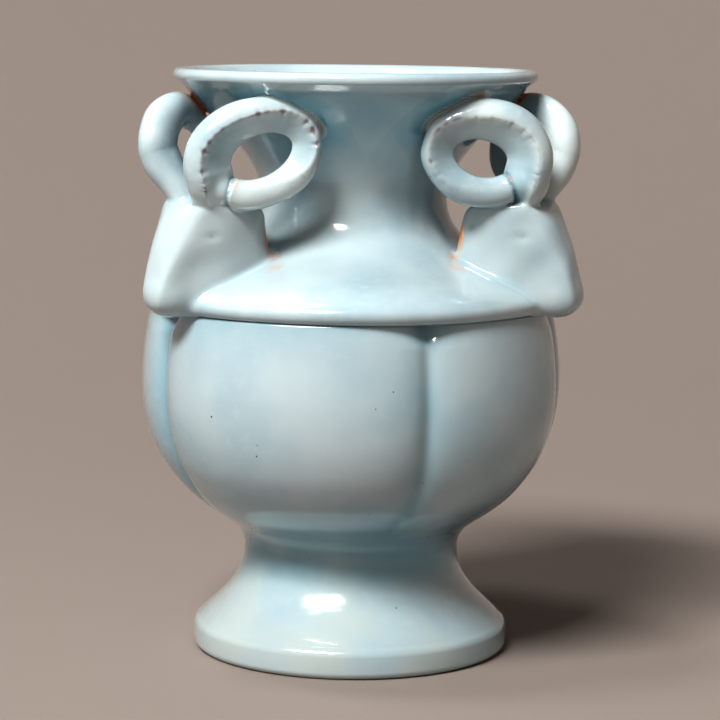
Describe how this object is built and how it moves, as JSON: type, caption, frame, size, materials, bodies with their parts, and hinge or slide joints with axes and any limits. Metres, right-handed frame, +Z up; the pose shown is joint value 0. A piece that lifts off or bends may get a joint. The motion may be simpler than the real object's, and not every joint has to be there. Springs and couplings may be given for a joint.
{
  "type": "footed vase",
  "caption": "Glazed footed vase with a lobed bowl, sloping shoulder, flared rim and ram's heads whose coiled horns meet the rim.",
  "frame": {"origin": "centre of the foot's resting face", "axes": "+Z up along the turned axis; -Y is the front, midway between two of the heads; +X to the viewer's right"},
  "size_m": [0.1992, 0.2105, 0.27],
  "materials": {
    "glaze_foot": "glossy transparent pale turquoise glaze over light earthenware, slightly greener under the waist",
    "glaze_bowl": "glossy transparent pale turquoise glaze over light earthenware, pooled a little deeper in the grooves",
    "glaze_collar": "glossy transparent pale turquoise glaze over light earthenware, bluer in the neck, thin and rust-coloured where clay shows at joints",
    "glaze_head": "glossy transparent pale turquoise glaze over light earthenware, pale where it runs thin over the brow",
    "glaze_horn": "glossy transparent pale turquoise glaze over light earthenware, thin and purple-brown along the nicked ridges"
  },
  "bodies": {
    "root": {"foot": "glaze_foot", "bowl": "glaze_bowl", "collar": "glaze_collar", "head_left": "glaze_head", "head_right": "glaze_head", "head_back": "glaze_head", "horn_left_front": "glaze_horn", "horn_left_rear": "glaze_horn", "horn_right_front": "glaze_horn", "horn_right_rear": "glaze_horn", "horn_back_left": "glaze_horn", "horn_back_right": "glaze_horn"}
  },
  "joints": []
}
